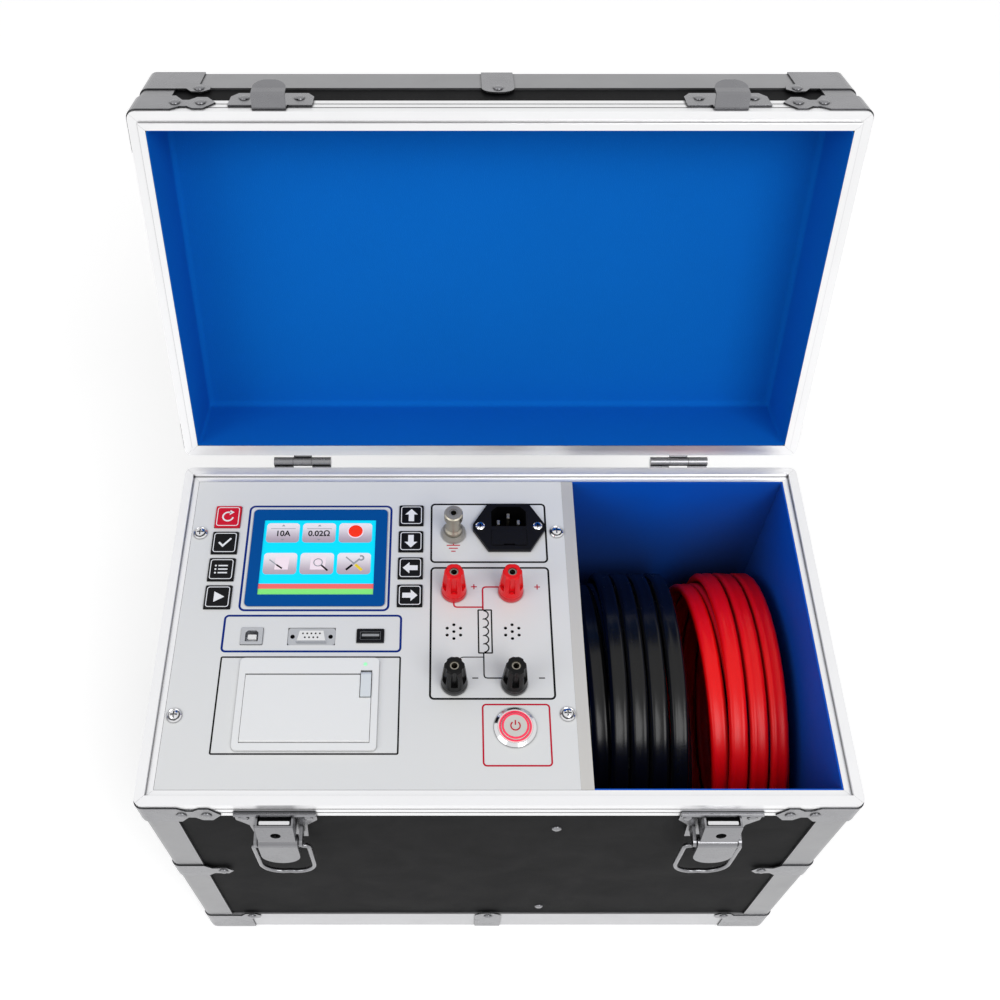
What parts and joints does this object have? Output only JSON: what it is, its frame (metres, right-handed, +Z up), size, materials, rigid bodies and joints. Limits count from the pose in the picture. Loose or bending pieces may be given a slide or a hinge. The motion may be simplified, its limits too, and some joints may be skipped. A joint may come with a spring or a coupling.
{
  "type": "ground continuity tester",
  "caption": "Ground bond resistance tester in an aluminium edged case: hinged lid, panel with screen, keys, printer, terminals and switch, and a bay of coiled leads.",
  "frame": {"origin": "on the floor under the middle of the case, midway between the feet", "axes": "+X to the right seen from the front, +Y to the back where the lid hinges, +Z up"},
  "size_m": [0.4754, 0.4114, 0.5329],
  "materials": {
    "case_walls": "black laminate",
    "case_floor": "bare plywood",
    "base_rim": "satin",
    "base_edging": "satin",
    "base_brackets": "zinc plated",
    "rubber_feet": "matt",
    "divider": "grey laminate with an aluminium cap",
    "compartment_liner": "smooth lining",
    "base_hinge_leaves": "zinc plated",
    "latch_plates": "zinc plated",
    "handle_plates": "zinc plated",
    "instrument_panel": "satin",
    "panel_rails": "satin",
    "panel_screws": "zinc plated",
    "screen_bezel": "satin",
    "display_module": "glossy",
    "control_board": "solder mask",
    "data_ports": "plated",
    "printer_frame": "satin",
    "paper_roll": "paper",
    "terminal_studs": "nickel plated",
    "terminal_collars": "glossy",
    "power_inlet": "matt",
    "power_switch_body": "polished",
    "power_supply": "satin",
    "current_module": "satin",
    "black_lead": "satin",
    "red_lead": "satin",
    "black_lead_ends": "satin",
    "red_lead_ends": "satin",
    "lid_boards": "black laminate",
    "lid_rim": "satin",
    "lid_edging": "satin",
    "lid_brackets": "zinc plated",
    "lid_liner": "felt on foam",
    "lid_hinge_leaves": "zinc plated",
    "catch_plates": "zinc plated",
    "left_handle": "matt",
    "right_handle": "matt",
    "left_latch_lever": "zinc plated",
    "right_latch_lever": "zinc plated",
    "left_latch_bail": "zinc plated",
    "right_latch_bail": "zinc plated",
    "power_button": "matt",
    "printer_door": "satin",
    "printer_lever": "satin",
    "fuse_drawer": "matt",
    "v_plus_cap": "glossy",
    "i_plus_cap": "glossy",
    "v_minus_cap": "glossy",
    "i_minus_cap": "glossy",
    "earth_cap": "polished",
    "left_key_1": "glossy",
    "left_key_2": "glossy",
    "left_key_3": "glossy",
    "left_key_4": "glossy",
    "right_key_1": "glossy",
    "right_key_2": "glossy",
    "right_key_3": "glossy",
    "right_key_4": "glossy"
  },
  "bodies": {
    "case": {"case_walls": "case_walls", "case_floor": "case_floor", "base_rim": "base_rim", "base_edging": "base_edging", "base_brackets": "base_brackets", "rubber_feet": "rubber_feet", "divider": "divider", "compartment_liner": "compartment_liner", "base_hinge_leaves": "base_hinge_leaves", "latch_plates": "latch_plates", "handle_plates": "handle_plates", "instrument_panel": "instrument_panel", "panel_rails": "panel_rails", "panel_screws": "panel_screws", "screen_bezel": "screen_bezel", "display_module": "display_module", "control_board": "control_board", "data_ports": "data_ports", "printer_frame": "printer_frame", "paper_roll": "paper_roll", "terminal_studs": "terminal_studs", "terminal_collars": "terminal_collars", "power_inlet": "power_inlet", "power_switch_body": "power_switch_body", "power_supply": "power_supply", "current_module": "current_module", "black_lead": "black_lead", "red_lead": "red_lead", "black_lead_ends": "black_lead_ends", "red_lead_ends": "red_lead_ends"},
    "lid_assembly": {"lid_boards": "lid_boards", "lid_rim": "lid_rim", "lid_edging": "lid_edging", "lid_brackets": "lid_brackets", "lid_liner": "lid_liner", "lid_hinge_leaves": "lid_hinge_leaves", "catch_plates": "catch_plates"},
    "left_handle": {"left_handle": "left_handle"},
    "right_handle": {"right_handle": "right_handle"},
    "left_latch_lever": {"left_latch_lever": "left_latch_lever"},
    "right_latch_lever": {"right_latch_lever": "right_latch_lever"},
    "left_latch_bail": {"left_latch_bail": "left_latch_bail"},
    "right_latch_bail": {"right_latch_bail": "right_latch_bail"},
    "power_button": {"power_button": "power_button"},
    "printer_door": {"printer_door": "printer_door"},
    "printer_lever": {"printer_lever": "printer_lever"},
    "fuse_drawer": {"fuse_drawer": "fuse_drawer"},
    "v_plus_cap": {"v_plus_cap": "v_plus_cap"},
    "i_plus_cap": {"i_plus_cap": "i_plus_cap"},
    "v_minus_cap": {"v_minus_cap": "v_minus_cap"},
    "i_minus_cap": {"i_minus_cap": "i_minus_cap"},
    "earth_cap": {"earth_cap": "earth_cap"},
    "left_key_1": {"left_key_1": "left_key_1"},
    "left_key_2": {"left_key_2": "left_key_2"},
    "left_key_3": {"left_key_3": "left_key_3"},
    "left_key_4": {"left_key_4": "left_key_4"},
    "right_key_1": {"right_key_1": "right_key_1"},
    "right_key_2": {"right_key_2": "right_key_2"},
    "right_key_3": {"right_key_3": "right_key_3"},
    "right_key_4": {"right_key_4": "right_key_4"}
  },
  "joints": [
    {"name": "lid_hinge", "type": "hinge", "parent": "case", "child": "lid_assembly", "pos_m": [0, 0.13025, 0.281], "axis": [1, 0, 0], "range_deg": [0, 107.2]},
    {"name": "left_handle_swing", "type": "hinge", "parent": "case", "child": "left_handle", "pos_m": [-0.2287, 0, 0.186], "axis": [0, 1, 0], "range_deg": [0, 90]},
    {"name": "left_latch_lever_turn", "type": "hinge", "parent": "case", "child": "left_latch_lever", "pos_m": [-0.136, -0.1345, 0.2435], "axis": [-1, 0, 0], "range_deg": [0, 110]},
    {"name": "left_latch_bail_swing", "type": "hinge", "parent": "left_latch_lever", "child": "left_latch_bail", "pos_m": [-0.136, -0.1335, 0.2325], "axis": [1, 0, 0], "range_deg": [-184, 0]},
    {"name": "right_handle_swing", "type": "hinge", "parent": "case", "child": "right_handle", "pos_m": [0.2287, 0, 0.186], "axis": [0, -1, 0], "range_deg": [0, 90]},
    {"name": "right_latch_lever_turn", "type": "hinge", "parent": "case", "child": "right_latch_lever", "pos_m": [0.136, -0.1345, 0.2435], "axis": [-1, 0, 0], "range_deg": [0, 110]},
    {"name": "right_latch_bail_swing", "type": "hinge", "parent": "right_latch_lever", "child": "right_latch_bail", "pos_m": [0.136, -0.1335, 0.2325], "axis": [1, 0, 0], "range_deg": [-184, 0]},
    {"name": "power_button_press", "type": "slide", "parent": "case", "child": "power_button", "axis": [0, 0, -1], "range_m": [0, 0.002], "stiffness_N_per_m": 400, "springref_m": -0.001},
    {"name": "printer_door_open", "type": "hinge", "parent": "case", "child": "printer_door", "pos_m": [-0.1201, -0.0834, 0.2793], "axis": [1, 0, 0], "range_deg": [0, 85]},
    {"name": "printer_lever_lift", "type": "hinge", "parent": "case", "child": "printer_lever", "pos_m": [-0.0832, -0.0392, 0.2784], "axis": [-1, 0, 0], "range_deg": [0, 75]},
    {"name": "fuse_drawer_pull", "type": "slide", "parent": "case", "child": "fuse_drawer", "axis": [0, 0, 1], "range_m": [0, 0.018]},
    {"name": "v_plus_cap_travel", "type": "slide", "parent": "case", "child": "v_plus_cap", "axis": [0, 0, 1], "range_m": [0, 0.005]},
    {"name": "i_plus_cap_travel", "type": "slide", "parent": "case", "child": "i_plus_cap", "axis": [0, 0, 1], "range_m": [0, 0.005]},
    {"name": "v_minus_cap_travel", "type": "slide", "parent": "case", "child": "v_minus_cap", "axis": [0, 0, 1], "range_m": [0, 0.005]},
    {"name": "i_minus_cap_travel", "type": "slide", "parent": "case", "child": "i_minus_cap", "axis": [0, 0, 1], "range_m": [0, 0.005]},
    {"name": "earth_cap_travel", "type": "slide", "parent": "case", "child": "earth_cap", "axis": [0, 0, 1], "range_m": [0, 0.005]},
    {"name": "left_key_1_press", "type": "slide", "parent": "case", "child": "left_key_1", "axis": [0, 0, -1], "range_m": [0, 0.0005], "stiffness_N_per_m": 500, "springref_m": -0.0005},
    {"name": "left_key_2_press", "type": "slide", "parent": "case", "child": "left_key_2", "axis": [0, 0, -1], "range_m": [0, 0.0005], "stiffness_N_per_m": 500, "springref_m": -0.0005},
    {"name": "left_key_3_press", "type": "slide", "parent": "case", "child": "left_key_3", "axis": [0, 0, -1], "range_m": [0, 0.0005], "stiffness_N_per_m": 500, "springref_m": -0.0005},
    {"name": "left_key_4_press", "type": "slide", "parent": "case", "child": "left_key_4", "axis": [0, 0, -1], "range_m": [0, 0.0005], "stiffness_N_per_m": 500, "springref_m": -0.0005},
    {"name": "right_key_1_press", "type": "slide", "parent": "case", "child": "right_key_1", "axis": [0, 0, -1], "range_m": [0, 0.0005], "stiffness_N_per_m": 500, "springref_m": -0.0005},
    {"name": "right_key_2_press", "type": "slide", "parent": "case", "child": "right_key_2", "axis": [0, 0, -1], "range_m": [0, 0.0005], "stiffness_N_per_m": 500, "springref_m": -0.0005},
    {"name": "right_key_3_press", "type": "slide", "parent": "case", "child": "right_key_3", "axis": [0, 0, -1], "range_m": [0, 0.0005], "stiffness_N_per_m": 500, "springref_m": -0.0005},
    {"name": "right_key_4_press", "type": "slide", "parent": "case", "child": "right_key_4", "axis": [0, 0, -1], "range_m": [0, 0.0005], "stiffness_N_per_m": 500, "springref_m": -0.0005}
  ]
}
